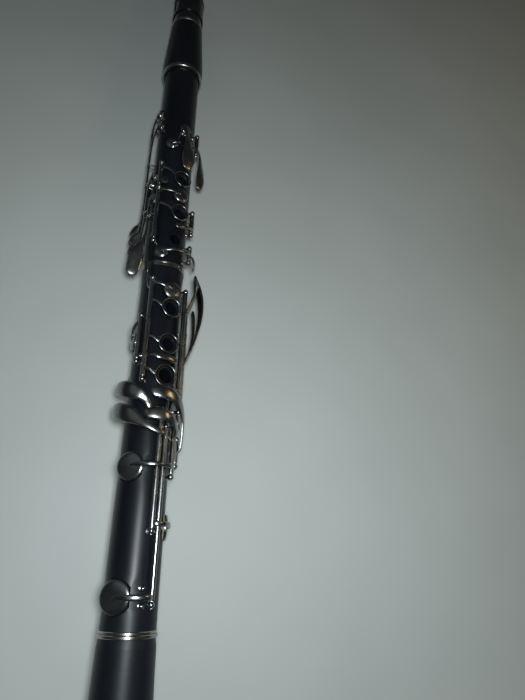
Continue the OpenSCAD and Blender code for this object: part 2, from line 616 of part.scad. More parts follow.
module upper_bridge_key() {
    color("silver") line_key(UPPER_RINGS, 0) {
        swing(UPPER_RINGS, -ring_turn) {
            hole_ring(HOLE_2, UPPER_RINGS, 381.5);
            cup(UPPER_VENT);
            sweep([[-57, 18, 393.6, 1.5, 1], [-42, 19, 393.6, 1.4, 0.8], [-22, 18.3, 393.2, 1.3, 0.7],
                [-3, cup_top(UPPER_VENT) - 0.2, 392.6, 0.9, 0.5]], finish = true);
        }
        sweep([[-57, 18, 357, 1.4, 0.9], [-63, 18.6, 355.5, 1.2, 0.75], [-67.5, 19, 350.5, 1.1, 0.7],
            [-67, 19.2, 341, 1.2, 0.7], [-64.5, 19.2, 332, 1.7, 0.6], [-63, 19.2, 326, 1.9, 0.5]],
            finish = true);
    }
}
module e_flat_key() {
    color("silver") line_key(E_LINE) {
        cup(E_FLAT);
        sweep([[46, 18, 379.5, 1.6, 1], [58, 18.8, 379.3, 1.5, 0.8], [70, 18.3, 378.7, 1.3, 0.7],
            [83, cup_top(E_FLAT) - 0.2, 378, 0.9, 0.5]], finish = true);
        sweep([[46, 18, 371, 1.4, 1], [36, 19.3, 368.6, 1.2, 0.8], [20, 19.6, 366.6, 1.2, 0.8],
            [5, 19.3, 365, 1.5, 0.8], [-5, 19, 364.4, 2, 0.8]], start = false, finish = true);
    }
}
module c_sharp_key() {
    color("silver") line_key(C_LINE) {
        cup(C_SHARP);
        sweep([[40, 18.5, 347.5, 1.4, 1], [28, 19.7, 346.2, 1.3, 0.7], [10, 19.3, 345, 1.2, 0.6],
            [-8, 18.8, 344.2, 1.2, 0.6], [-22, 18, 343.4, 1.2, 0.6],
            [-37, cup_top(C_SHARP) - 0.2, 342.6, 0.9, 0.5]], finish = true);
        sweep([[40, 18.5, 346.3, 1.4, 1], [43, 20.6, 345.3, 1.8, 0.8], [46, 21.6, 343.4, 2.6, 0.8],
            [49, 21.8, 341, 3.1, 0.8], [51, 21.5, 338.8, 2.8, 0.7]], n = 12, finish = true);
    }
}

// ---- Keys of the lower joint ----
module lower_ring_key() {
    color("silver") line_key(LOWER_RINGS) swing(LOWER_RINGS, -ring_turn) {
        hole_ring(HOLE_4, LOWER_RINGS, 302);
        hole_ring(HOLE_5, LOWER_RINGS, 276);
        hole_ring(HOLE_6, LOWER_RINGS, 254);
        cup(LOWER_VENT);
        sweep([[-48, 18, 315.5, 1.5, 1], [-36, 18.8, 315.5, 1.4, 0.8], [-20, 18.3, 314.4, 1.3, 0.7],
            [-3, cup_top(LOWER_VENT) - 0.2, 313.2, 0.9, 0.5]], finish = true);
        sweep([[-48, 18, 312, 1.4, 0.9], [-56, 17.5, 314, 1.3, 0.6], [-61, 17, 319, 1.2, 0.5],
            [-63, 17, 325, 1.3, 0.5], [-63, 17, 330, 1.6, 0.5]], finish = true);
    }
}
module b_key() {
    color("silver") line_key(B_LINE) {
        cup(B_PAD);
        sweep([[-66, 18, 286, 1.5, 1], [-76, 18.6, 286, 1.4, 0.8], [-88, 18.2, 282.5, 1.3, 0.7],
            [-99, cup_top(B_PAD) - 0.2, 277, 0.9, 0.5]], finish = true);
        sweep([[-66, 18, 264, 1.3, 0.9], [-58, 16.3, 264.4, 1.3, 0.55], [-48, 15.5, 264.8, 1.4, 0.5],
            [-41, 16, 265, 1.3, 0.5], [-35, 18, 264.6, 1.3, 0.6], [-24, 19.3, 263.2, 1.8, 0.8],
            [-8, 19.3, 262.6, 2.1, 0.9], [8, 19.3, 262.4, 2.3, 0.9], [15, 19.3, 262.4, 2, 0.8]],
            finish = true);
    }
}
module low_e_key() {
    color("silver") line_key(LOW_E_LINE) {
        swing(LOW_E_LINE, open_turn) {
            cup(LOW_E);
            sweep([[8.5, 18.5, 125, 1.5, 1.1], [-2, 20.4, 125, 1.5, 0.9], [-18, 20.3, 125, 1.5, 0.8],
                [-36, 19, 125, 1.6, 0.7], [-48, 17.6, 125, 1.3, 0.6], [-60, 17, 125, 0.7, 0.5]],
                finish = true);
        }
        sweep([[8.5, 18.5, 213, 1.4, 0.9], [3, 21.2, 213.2, 1.4, 0.8], [-4, 22.1, 213.6, 1.5, 0.75],
            [-14, 22.2, 214.8, 1.7, 0.75], [-26, 22, 216.8, 2, 0.8], [-38, 21.8, 219.2, 2.8, 1],
            [-52, 21.8, 222.2, 4.4, 1.4], [-68, 22, 224.8, 5.3, 1.6], [-85, 22, 227, 5.4, 1.6],
            [-98, 21.8, 228.4, 4.4, 1.4]], n = 12, finish = true);
        sweep([[8.5, 18.5, 212.8, 1.3, 0.9], [15, 18.4, 212.8, 1.2, 0.7], [22, 18, 212.8, 1.2, 0.6]],
            finish = true);
    }
}
module f_sharp_key() {
    color("silver") line_key(F_SHARP_LINE) {
        cup(F_SHARP);
        sweep([[-3.5, 18.5, 162.5, 1.5, 1], [1, 20.5, 162.5, 1.5, 0.8], [8.5, 21.4, 162.5, 1.4, 0.75],
            [20, 21.3, 162.5, 1.4, 0.75], [34, 19.9, 162.2, 1.5, 0.7], [48, 18, 161.8, 1.2, 0.6],
            [61, cup_top(F_SHARP) - 0.2, 161.5, 0.7, 0.5]], finish = true);
        sweep([[-3.5, 18.5, 222.5, 1.4, 0.9], [-12, 18.1, 223.4, 1.5, 0.7], [-21, 17.9, 226.3, 1.5, 0.7],
            [-29, 18.2, 230.3, 1.7, 0.75], [-37, 19.9, 234.2, 2.5, 0.9], [-48, 21.2, 237, 4, 1.3],
            [-62, 21.7, 239, 5.2, 1.6], [-78, 21.9, 240.6, 5.4, 1.6], [-91, 21.7, 241.8, 4.4, 1.4]],
            n = 12, finish = true);
        sweep([[-3.5, 18.5, 223, 1.3, 0.9], [5, 18.4, 223, 1.2, 0.7], [14, 17.9, 223, 1.2, 0.6]],
            finish = true);
    }
}
module low_f_key() {
    color("silver") line_key(LOW_F_LINE) {
        swing(LOW_F_LINE, open_turn) {
            cup(LOW_F);
            sweep([[33, 18.5, 195, 1.5, 1], [22, 20.9, 195, 1.5, 0.9], [8, 21.4, 195, 1.4, 0.75],
                [-10, 21.1, 195, 1.4, 0.75], [-31, 19.2, 195, 1.5, 0.7], [-47, 17.5, 194.6, 1.2, 0.6],
                [-61, cup_top(LOW_F) - 0.1, 194.2, 0.7, 0.5]], finish = true);
        }
        sweep([[33, 18.5, 213.5, 1.4, 0.9], [29, 20.6, 215.5, 1.5, 0.9], [22, 22, 218.5, 1.9, 0.8],
            [11, 22.9, 221.8, 2.9, 0.9], [-3.5, 23.3, 224, 3.7, 1.1], [-17, 23, 224.6, 3.9, 1.2],
            [-26, 22.6, 224.4, 3.4, 1.1]], n = 12, finish = true);
        sweep([[33, 18.5, 216.8, 1.2, 0.9], [40, 18.4, 216.8, 1.1, 0.7], [46.5, 17.9, 216.8, 1.1, 0.6]],
            finish = true);
    }
}
module a_flat_key() {
    color("silver") line_key(A_FLAT_LINE) {
        cup(A_FLAT);
        sweep([[52, 18.5, 206.5, 1.5, 1], [62, 19.4, 207.5, 1.5, 0.8], [76, 18.5, 210, 1.3, 0.7],
            [91, cup_top(A_FLAT) - 0.2, 212.8, 0.7, 0.5]], finish = true);
        sweep([[52, 18.5, 204.5, 1.4, 0.9], [50.5, 20.9, 207.2, 1.5, 0.9], [48.5, 21.7, 211.5, 1.6, 0.8],
            [46.5, 22.2, 217, 1.8, 0.8], [42, 22.4, 224.5, 2.1, 0.8], [34, 22.4, 230.5, 2.8, 0.8],
            [21, 22.3, 235.4, 3.6, 1], [6, 22.1, 237.8, 4.2, 1.1], [-9, 22, 238.5, 4.2, 1.2],
            [-18, 21.8, 238.5, 3.6, 1.1]], n = 12, finish = true);
    }
}
module left_e_lever() {
    color("silver") line_key(LEFT_E_LINE) {
        sweep([[48.5, 18.5, 262, 1.5, 1], [52, 21, 268, 1.6, 0.9], [57, 25, 281, 1.8, 0.9, -15],
            [61, 28, 298, 2.3, 0.9, -32], [63.5, 28.3, 312, 2.7, 0.9, -38],
            [66, 26.5, 323, 2.7, 0.9, -38], [67.5, 24, 331, 2.2, 0.8, -38]], n = 12, finish = true);
        sweep([[48.5, 18.5, 236, 1.3, 0.9], [36, 16.2, 235.5, 1, 0.6], [28, 15.9, 233.5, 0.9, 0.6],
            [22, 15.9, 228, 0.8, 0.6], [22, 16, 220, 0.8, 0.6], [22, 16.2, 213, 0.8, 0.6]], finish = true);
    }
}
module left_f_sharp_lever() {
    color("silver") line_key(LEFT_FS_LINE) {
        sweep([[36, 18.5, 298, 1.5, 1], [39.5, 20.8, 302, 1.6, 0.9], [43.5, 23, 310, 2.2, 0.9, -12],
            [47.5, 24.1, 318.5, 2.9, 0.9, -26], [49.5, 24, 325.5, 2.9, 0.9, -30],
            [50, 23.3, 329.5, 2.4, 0.8, -30]],
            n = 12, finish = true);
        sweep([[36, 18.5, 244.5, 1.3, 0.9], [24, 16.8, 242, 1, 0.6], [16, 16.2, 238, 0.9, 0.6],
            [13, 16.1, 232, 0.9, 0.6], [12, 16.2, 223, 0.9, 0.6]], finish = true);
    }
}
module left_f_lever() {
    color("silver") line_key(LEFT_F_LINE) {
        sweep([[61, 18.5, 266, 1.5, 1], [65, 21, 270, 1.6, 0.9], [70, 23.5, 279, 2, 0.9],
            [74, 25, 290, 2.5, 0.9], [76, 25, 301, 2.8, 0.9], [77, 24.3, 307, 2.4, 0.8]],
            n = 12, finish = true);
        sweep([[61, 18.5, 226, 1.3, 0.9], [55, 16.6, 225.5, 0.9, 0.6], [50, 15.9, 222, 0.9, 0.6],
            [48, 16, 216.8, 0.9, 0.6]], finish = true);
    }
}

// ---- Pads, each in the place its cup has at rest ----
module register_pad() {
    pad(REGISTER);
}
module thumb_pad() {
    swing(THUMB_LINE, ring_turn) pad(THUMB_VENT);
}
module a_pad() {
    pad(A_PAD);
}
module g_sharp_pad() {
    pad(G_SHARP);
}
module side_pad_1() {
    pad(SIDE_1);
}
module side_pad_2() {
    pad(SIDE_2);
}
module side_pad_3() {
    pad(SIDE_3);
}
module side_pad_4() {
    pad(SIDE_4);
}
module upper_bridge_pad() {
    swing(UPPER_RINGS, -ring_turn) pad(UPPER_VENT);
}
module e_flat_pad() {
    pad(E_FLAT);
}
module c_sharp_pad() {
    pad(C_SHARP);
}
module lower_ring_pad() {
    swing(LOWER_RINGS, -ring_turn) pad(LOWER_VENT);
}
module b_pad() {
    pad(B_PAD);
}
module low_e_pad() {
    swing(LOW_E_LINE, open_turn) pad(LOW_E);
}
module low_f_pad() {
    swing(LOW_F_LINE, open_turn) pad(LOW_F);
}
module f_sharp_pad() {
    pad(F_SHARP);
}
module a_flat_pad() {
    pad(A_FLAT);
}

bell();
bell_rings();
lower_joint();
lower_joint_rings();
upper_joint();
upper_joint_ring();
tenon_corks();
lower_posts();
upper_posts();
lower_rods();
upper_rods();
needle_springs();
thumb_rest();
thumb_rest_screws();
bushings();
barrel();
barrel_rings();
mouthpiece();
mouthpiece_cork();
reed();
ligature();
ligature_screws();
register_key();
register_pad();
thumb_ring_key();
thumb_pad();
a_key();
a_pad();
g_sharp_key();
g_sharp_pad();
side_key_1();
side_pad_1();
side_key_2();
side_pad_2();
side_key_3();
side_pad_3();
side_key_4();
side_pad_4();
first_ring_key();
upper_bridge_key();
upper_bridge_pad();
e_flat_key();
e_flat_pad();
c_sharp_key();
c_sharp_pad();
lower_ring_key();
lower_ring_pad();
b_key();
b_pad();
low_e_key();
low_e_pad();
low_f_key();
low_f_pad();
f_sharp_key();
f_sharp_pad();
a_flat_key();
a_flat_pad();
left_e_lever();
left_f_sharp_lever();
left_f_lever();
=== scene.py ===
"""The clarinet's looks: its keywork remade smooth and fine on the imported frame.

Every surface has a procedural material. Shapes are in millimetres until a piece is made.
"""
import json
import math
import bpy
import bmesh
from mathutils import Matrix, Vector


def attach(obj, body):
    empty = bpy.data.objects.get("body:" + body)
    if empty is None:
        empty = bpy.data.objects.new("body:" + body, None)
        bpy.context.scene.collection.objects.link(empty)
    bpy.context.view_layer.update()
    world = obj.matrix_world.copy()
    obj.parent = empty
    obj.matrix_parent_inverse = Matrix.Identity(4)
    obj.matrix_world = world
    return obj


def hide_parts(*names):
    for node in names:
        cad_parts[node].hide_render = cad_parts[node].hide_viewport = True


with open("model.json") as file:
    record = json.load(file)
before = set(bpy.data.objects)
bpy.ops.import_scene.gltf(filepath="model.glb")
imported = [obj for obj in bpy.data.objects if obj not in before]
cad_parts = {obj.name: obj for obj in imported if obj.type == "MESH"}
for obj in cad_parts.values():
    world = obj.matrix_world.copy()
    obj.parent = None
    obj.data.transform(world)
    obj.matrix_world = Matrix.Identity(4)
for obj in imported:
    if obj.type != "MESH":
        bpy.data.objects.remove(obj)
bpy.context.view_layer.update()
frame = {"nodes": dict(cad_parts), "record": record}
scene = bpy.context.scene
MM = 0.001
BORE = Vector((0, 1, 0))


# ---- Camera, floor and light ----
def direction(a):
    """Straight out from the bore, at an angle from the finger holes."""
    return Vector((math.sin(math.radians(a)), 0, math.cos(math.radians(a))))


# The camera's own axes, its place, and its lens in millimetres; clipping in metres
CAMERA_RIGHT = Vector((0.7648, 0.0091, 0.6442))
CAMERA_UP = Vector((-0.2604, 0.9189, 0.2962))
CAMERA_BACK = Vector((-0.5893, -0.3943, 0.7052))
camera_place = Vector((-149.5, 138.2, 290.9)) * MM
SENSOR_WIDTH, FOCAL_LENGTH = 36, 35.44
CLIP_NEAR, CLIP_FAR = 0.005, 20

cam = bpy.data.objects.new("camera", bpy.data.cameras.new("camera"))
scene.collection.objects.link(cam)
cam.matrix_world = Matrix([*zip(CAMERA_RIGHT, CAMERA_UP, CAMERA_BACK, camera_place), (0, 0, 0, 1)])
cam.data.sensor_fit = "HORIZONTAL"
cam.data.sensor_width = SENSOR_WIDTH
cam.data.lens = FOCAL_LENGTH
cam.data.clip_start, cam.data.clip_end = CLIP_NEAR, CLIP_FAR
scene.camera = cam

# The instrument lies on the bell's rim and the barrel's top ring, a little turned on its back
LIE = -27
BELL_R, BARREL_R, BARREL_TOP = 40, 13.9, 592
# The rim ring's radius where it touches; then the floor's clearance and half side, in metres
RIM_TOUCH = 40.05
FLOOR_DROP, FLOOR_HALF = 0.0003, 6
tilt = math.atan2(BELL_R - BARREL_R, BARREL_TOP)
normal = (direction(LIE) * math.cos(tilt) - BORE * math.sin(tilt)).normalized()
touch = direction(LIE + 180) * RIM_TOUCH * MM


def floor_square(name, point, half):
    """A square on the plane that the instrument lies on."""
    u = BORE - normal * normal[1]
    u.normalize()
    v = normal.cross(u)
    corners = [point + u * x * half + v * y * half for x, y in ((-1, -1), (-1, 1), (1, 1), (1, -1))]
    mesh = bpy.data.meshes.new(name)
    mesh.from_pydata(corners, [], [(0, 1, 2, 3)])
    mesh.update()
    o = bpy.data.objects.new(name, mesh)
    scene.collection.objects.link(o)
    return o


floor = floor_square("floor", touch - normal * FLOOR_DROP, FLOOR_HALF)
side = normal.cross(BORE).normalized()


def area_light(name, target, away, aside, along, size, power, colour):
    """A round light that faces its target from so far off the floor, aside and up the bore."""
    position = target + normal * away + side * aside + BORE * along
    data = bpy.data.lights.new(name, "AREA")
    data.shape = "DISK"
    data.size = size
    data.energy = power
    data.color = colour
    o = bpy.data.objects.new(name, data)
    scene.collection.objects.link(o)
    o.location = position
    o.rotation_mode = "QUATERNION"
    o.rotation_quaternion = (target - position).to_track_quat("-Z", "Y")


MIDDLE = Vector((0, 0.3, 0))
LIT = Vector((0.07, 0.21, 0))
area_light("key_light", LIT, 0.42, 0.05, -0.05, 0.07, 1.5, (0.88, 0.98, 1))
area_light("fill_light", MIDDLE, 0.9, 0.8, 0.4, 0.8, 0.2, (0.86, 0.95, 1))
area_light("warm_light", MIDDLE, 0.45, -0.8, 0.2, 0.15, 0.4, (1, 0.7, 0.34))

ROOM_COLOUR, ROOM_STRENGTH = (0.74, 0.84, 0.86, 1), 0.035
world = bpy.data.worlds.new("studio")
scene.world = world
world.use_nodes = True
room = world.node_tree.nodes["Background"]
room.inputs["Color"].default_value = ROOM_COLOUR
room.inputs["Strength"].default_value = ROOM_STRENGTH
scene.view_settings.view_transform = "Standard"


# ---- Materials ----
# The range that most of a noise texture's values lie in
NOISE_LOW, NOISE_HIGH = 0.3, 0.7


def material(name, base, metallic, roughness, coat=0.0):
    """A new material, with its node tree and its shader."""
    m = bpy.data.materials.new(name)
    m.use_nodes = True
    s = m.node_tree.nodes["Principled BSDF"]
    s.inputs["Base Color"].default_value = (*base, 1)
    s.inputs["Metallic"].default_value = metallic
    s.inputs["Roughness"].default_value = roughness
    s.inputs["Coat Weight"].default_value = coat
    return m, m.node_tree, s


def noise(tree, scale, detail, stretch=(1, 1, 1), rough=0.55):
    """Noise that stays with the object, drawn out along an axis where stretch is under 1."""
    coords = tree.nodes.new("ShaderNodeTexCoord")
    mapping = tree.nodes.new("ShaderNodeMapping")
    mapping.inputs["Scale"].default_value = stretch
    n = tree.nodes.new("ShaderNodeTexNoise")
    n.inputs["Scale"].default_value = scale
    n.inputs["Detail"].default_value = detail
    n.inputs["Roughness"].default_value = rough
    tree.links.new(coords.outputs["Object"], mapping.inputs["Vector"])
    tree.links.new(mapping.outputs["Vector"], n.inputs["Vector"])
    return n.outputs["Fac"]


def ramp(tree, source, stops):
    n = tree.nodes.new("ShaderNodeValToRGB")
    for e in list(n.color_ramp.elements)[1:]:
        n.color_ramp.elements.remove(e)
    first = n.color_ramp.elements[0]
    first.position, first.color = stops[0][0], (*stops[0][1], 1)
    for where, colour in stops[1:]:
        n.color_ramp.elements.new(where).color = (*colour, 1)
    tree.links.new(source, n.inputs["Fac"])
    return n.outputs["Color"]


def ranged(tree, source, low, high):
    """A noise texture's usual range spread over low to high."""
    n = tree.nodes.new("ShaderNodeMapRange")
    n.inputs["From Min"].default_value, n.inputs["From Max"].default_value = NOISE_LOW, NOISE_HIGH
    n.inputs["To Min"].default_value, n.inputs["To Max"].default_value = low, high
    tree.links.new(source, n.inputs["Value"])
    return n.outputs["Result"]


def tint(tree, shader, source, stops):
    tree.links.new(ramp(tree, source, stops), shader.inputs["Base Color"])


def dull(tree, shader, source, low, high):
    tree.links.new(ranged(tree, source, low, high), shader.inputs["Roughness"])


def bump(tree, shader, source, strength, distance):
    n = tree.nodes.new("ShaderNodeBump")
    n.inputs["Strength"].default_value = strength
    n.inputs["Distance"].default_value = distance
    tree.links.new(source, n.inputs["Height"])
    tree.links.new(n.outputs["Normal"], shader.inputs["Normal"])


def resin():
    """Satin black, with the fine lengthwise polish and the faint dust of a handled body."""
    m, t, s = material("body_resin_look", (0.006, 0.007, 0.010), 0, 0.36)
    s.inputs["Specular IOR Level"].default_value = 0.3
    smear = noise(t, 34, 5, (1, 0.35, 1))
    grain = noise(t, 900, 3, (1, 0.03, 1))
    tint(t, s, smear, [(0.3, (0.0035, 0.0042, 0.0065)), (0.7, (0.0075, 0.009, 0.0135))])
    dull(t, s, smear, 0.30, 0.44)
    bump(t, s, grain, 0.12, 0.00004)
    return m


def ebonite():
    m, t, s = material("ebonite_look", (0.008, 0.008, 0.009), 0, 0.16, 0.3)
    smear = noise(t, 60, 4)
    tint(t, s, smear, [(0.35, (0.007, 0.007, 0.008)), (0.75, (0.016, 0.015, 0.015))])
    dull(t, s, smear, 0.12, 0.26)
    bump(t, s, noise(t, 700, 2), 0.05, 0.00003)
    return m


def plating(name, bright, worn, low, high):
    """Nickel plate: bright, with warm, duller patches from handling and fine polish scratches."""
    m, t, s = material(name, bright, 1, low)
    patches = noise(t, 45, 3, rough=0.5)
    tint(t, s, patches, [(0.3, bright), (0.72, worn)])
    smudge = noise(t, 120, 3)
    dull(t, s, smudge, low, high)
    bump(t, s, noise(t, 2600, 2, (1, 0.12, 1)), 0.06, 0.00002)
    return m


def lacquer():
    m, t, s = material("black_lacquer_look", (0.010, 0.010, 0.011), 0, 0.24)
    smear = noise(t, 90, 3)
    tint(t, s, smear, [(0.35, (0.007, 0.007, 0.008)), (0.75, (0.015, 0.015, 0.016))])
    dull(t, s, smear, 0.2, 0.32)
    return m


def cork():
    m, t, s = material("cork_look", (0.55, 0.36, 0.2), 0, 0.8)
    grain = noise(t, 900, 6, rough=0.7)
    tint(t, s, grain, [(0.35, (0.20, 0.11, 0.05)), (0.5, (0.50, 0.32, 0.17)),
                       (0.7, (0.66, 0.47, 0.27))])
    bump(t, s, grain, 0.5, 0.0002)
    return m


def cane():
    m, t, s = material("cane_look", (0.72, 0.55, 0.27), 0, 0.5)
    fibre = noise(t, 1500, 4, (1, 0.02, 1), 0.6)
    tint(t, s, fibre, [(0.3, (0.50, 0.34, 0.13)), (0.55, (0.72, 0.55, 0.27)),
                       (0.8, (0.84, 0.70, 0.42))])
    bump(t, s, fibre, 0.35, 0.00008)
    return m


def skin():
    m, t, s = material("pad_skin_look", (0.5, 0.38, 0.23), 0, 0.5)
    cloud = noise(t, 260, 5)
    tint(t, s, cloud, [(0.3, (0.36, 0.25, 0.14)), (0.7, (0.62, 0.50, 0.33))])
    dull(t, s, cloud, 0.38, 0.6)
    bump(t, s, noise(t, 1500, 4), 0.3, 0.0001)
    return m


def blued():
    m, t, s = material("blued_steel_look", (0.06, 0.09, 0.2), 1, 0.28)
    tint(t, s, noise(t, 300, 3), [(0.35, (0.03, 0.05, 0.16)), (0.7, (0.12, 0.13, 0.26))])
    dull(t, s, noise(t, 900, 3), 0.2, 0.4)
    return m


def pale_floor():
    m, t, s = material("floor_look", (0.52, 0.54, 0.52), 0, 0.6)
    tint(t, s, noise(t, 5, 3), [(0.3, (0.47, 0.49, 0.475)), (0.7, (0.53, 0.55, 0.53))])
    return m


LOOKS = {
    "body_resin": resin(),
    "ebonite": ebonite(),
    "cork": cork(),
    "cane": cane(),
    "pad_skin": skin(),
    "black_lacquer": lacquer(),
    "blued_steel": blued(),
    "ring_plate": plating("ring_plate_look", (0.46, 0.46, 0.45), (0.40, 0.37, 0.33),
                          0.18, 0.28),
    "rod_steel": plating("rod_steel_look", (0.56, 0.50, 0.40), (0.46, 0.37, 0.24),
                         0.2, 0.34),
    "key_plate": plating("key_plate_look", (0.32, 0.335, 0.35), (0.28, 0.265, 0.245),
                         0.19, 0.30),
}
floor.data.materials.append(pale_floor())
slot_of = {p["node"]: p["material_slot"] for p in frame["record"]["subparts"]}
for node, o in frame["nodes"].items():
    o.data.materials.clear()
    o.data.materials.append(LOOKS[slot_of[node]])


# ---- Shapes in millimetres, turned to metres when a piece is made ----
# Degrees from which an edge stays sharp, and the smallest ring at a lathe's axis
SHARP_ANGLE, AXIS_R = 38, 0.01
# Steps between two rows of a sweep, points round it, and degrees of the slices of a round end
SWEEP_STEPS, SWEEP_SIDES = 6, 20
ROUND_END = (88, 78, 66, 54, 42, 30, 15)


def at_cyl(a, r, y):
    """A point at an angle round the bore, a distance from its axis and a place up it."""
    q = math.radians(a)
    return Vector((r * math.sin(q), y, r * math.cos(q)))


class Piece:
    """One mesh made of several closed shells."""

    def __init__(self):
        self.verts, self.faces = [], []

    def shell(self, rings, turn=None, closed=False):
        """Rings of points joined into a skin: flat ends, or the last ring joined to the first."""
        start, n = len(self.verts), len(rings[0])
        for ring in rings:
            self.verts += [turn @ p if turn else p for p in ring]
        m = len(rings)
        for i in range(m if closed else m - 1):
            a, b = start + i * n, start + ((i + 1) % m) * n
            for j in range(n):
                k = (j + 1) % n
                self.faces.append((a + j, a + k, b + k, b + j))
        if not closed:
            self.faces.append(tuple(start + j for j in reversed(range(n))))
            self.faces.append(tuple(start + (m - 1) * n + j for j in range(n)))

    def lathe(self, origin, axis, outline, turn=None, n=48, closed=False):
        """Outline of (radius, height) turned round an axis."""
        w = axis.normalized()
        u = w.orthogonal().normalized()
        v = w.cross(u)
        rings = []
        for r, h in outline:
            r = max(r, AXIS_R)
            rings.append([origin + w * h + (u * math.cos(q) + v * math.sin(q)) * r
                          for q in (2 * math.pi * j / n for j in range(n))])
        self.shell(rings, turn, closed)

    def make(self, node, body):
        """The finished mesh, riding on its body in place of one CAD node."""
        name = node + "_fine"
        mesh = bpy.data.meshes.new(name)
        mesh.from_pydata([p * MM for p in self.verts], [], self.faces)
        bm = bmesh.new()
        bm.from_mesh(mesh)
        bmesh.ops.recalc_face_normals(bm, faces=bm.faces)
        bm.to_mesh(mesh)
        bm.free()
        mesh.shade_smooth()
        mesh.set_sharp_from_angle(angle=math.radians(SHARP_ANGLE))
        mesh.materials.append(LOOKS["key_plate"])
        o = bpy.data.objects.new(name, mesh)
        scene.collection.objects.link(o)
        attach(o, body)
        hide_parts(node)


def catmull(p, q, r, s, t):
    """Between q and r on the smooth curve through four rows."""
    return [0.5 * (2 * b + (c - a) * t + (2 * a - 5 * b + 4 * c - d) * t * t
                   + (3 * b - a - 3 * c + d) * t ** 3)
            for a, b, c, d in zip(p, q, r, s)]


def spline(rows):
    def row(i):
        return rows[max(0, min(len(rows) - 1, i))]
    out = []
    for i in range(len(rows) - 1):
        out += [catmull(row(i - 1), row(i), row(i + 1), row(i + 2), k / SWEEP_STEPS)
                for k in range(SWEEP_STEPS)]
    return out + [list(rows[-1])]


def sweep(piece, rows, turn=None, start=False, finish=True):
    """A lever or touch along rows of angle, radius, place, half width, half thickness and roll.

    start and finish say which of its ends are rounded off.
    """
    rows = [list(r) + [0] * (6 - len(r)) for r in rows]
    path = spline(rows)
    points = [at_cyl(*c[:3]) for c in path]
    frames = []
    for i, c in enumerate(path):
        t = (points[min(i + 1, len(path) - 1)] - points[max(i - 1, 0)]).normalized()
        b = t.cross(at_cyl(c[0], 1, 0)).normalized()
        w = b.cross(t)
        q = math.radians(c[5])
        across = b * math.cos(q) + w * math.sin(q)
        through = w * math.cos(q) - b * math.sin(q)
        frames.append([points[i], across, through, c[3], c[4], t])

    def shrunk(f, way, q):
        q = math.radians(q)
        centre = f[0] + f[5] * way * f[3] * math.sin(q)
        return [centre, f[1], f[2], f[3] * math.cos(q), f[4] * math.cos(q) ** 0.7, f[5]]
    if start:
        frames = [shrunk(frames[0], -1, q) for q in ROUND_END] + frames
    if finish:
        frames += [shrunk(frames[-1], 1, q) for q in reversed(ROUND_END)]

    def soft(x):
        return math.copysign(abs(x) ** 0.8, x)
    rings = []
    for f in frames:
        rings.append([f[0] + f[1] * f[3] * soft(math.cos(q)) + f[2] * f[4] * soft(math.sin(q))
                      for q in (2 * math.pi * (j + 0.5) / SWEEP_SIDES for j in range(SWEEP_SIDES))])
    piece.shell(rings, turn)


def swing(line, degrees):
    """A key turned on its hinge line, from closed to where it stands at rest."""
    c = at_cyl(line[0], line[1], 0)
    rotation = Matrix.Rotation(math.radians(degrees), 4, "Y")
    return Matrix.Translation(c) @ rotation @ Matrix.Translation(-c)


# ---- The instrument's layout, as in the CAD ----
# Radii of tube, rod and post ball, and the play between a tube and its posts
TUBE, ROD, BALL, PLAY = 1.6, 1.0, 1.85, 0.15
# Degrees that the rings, and the low E and low F keys, stand open at rest
RING_TURN, OPEN_TURN = 6, 7.5
# Height and spacing of the turned marks on a cup
RIPPLE, RIPPLE_PITCH = 0.006, 0.9
# A cup's height, where its dome starts, and the dome's own height
CUP_H, RIM_H, DOME_H = 3.2, 2.27, 0.91
# The wall round a tone hole and its rise above the body
CHIMNEY_WALL, SEAT_RISE = 0.9, 0.1
# The lower joint's foot, length, top, radius and taper, and the upper joint's radius
JOINT_FOOT, JOINT_LENGTH, JOINT_TOP = 107, 227.5, 334.5
JOINT_R, JOINT_TAPER, UPPER_R = 15.3, 1.4, 14.2
# The radius of a pivot's rod
PIVOT_ROD = 0.55
# Hinge lines: angle, radius and the places of the posts
LINES = {
    "upper_rings": (-57, 18, (350.5, 397.5, 420.5)), "thumb": (-135, 17.6, (385, 414)),
    "g_sharp": (38, 18, (439, 459)), "e_flat": (46, 18, (366, 385.5)),
    "c_sharp": (40, 18.5, (341, 352.8)), "lower_rings": (-48, 18, (247.3, 319.6)),
    "b": (-66, 18, (259.6, 292)), "f_sharp": (-3.5, 18.5, (158.5, 228.2)),
    "low_e": (8.5, 18.5, (121.4, 218.6)), "low_f": (33, 18.5, (189.6, 220.4)),
    "a_flat": (52, 18.5, (197, 213.5)), "left_f_sharp": (36, 18.5, (240, 316)),
    "left_e": (48.5, 18.5, (231, 302)), "left_f": (61, 18.5, (222, 287)),
}
# Pad cups: angle, place, cup radius and tone hole radius
PADS = {
    "low_e": (-61, 125, 8.6, 5.8), "low_f": (-62, 194, 8.3, 5.4), "f_sharp": (62, 161.5, 7.4, 4.6),
    "a_flat": (92, 213, 7, 4.2), "lower_vent": (0, 313, 6, 3), "b": (-100, 276.5, 6, 3.2),
    "upper_vent": (0, 392.5, 5.6, 2.8), "a": (-3, 458.5, 4.4, 2), "g_sharp": (-36, 441, 4.6, 2.2),
    "c_sharp": (-38, 342.5, 4.8, 2.6), "e_flat": (84, 378, 5.2, 2.6),
    "thumb_vent": (202, 393, 4.4, 2), "register": (180, 509, 4.6, 1.4),
    "side_1": (-84, 390, 5.2, 2.8), "side_2": (-92, 413, 5, 2.6),
    "side_3": (-88, 463, 4.8, 2.4), "side_4": (-100, 478, 4.8, 2.4),
}
# Finger holes under a ring: place and radius
RING_HOLES = {"one": (407, 5.9), "two": (376.5, 5.9), "four": (299, 6.1), "five": (273, 6.1),
              "six": (251, 6.6)}
# How far out a finger ring's top lies, with its height and width
RING_TOP, RING_H, RING_W = 17.4, 1.0, 0.9
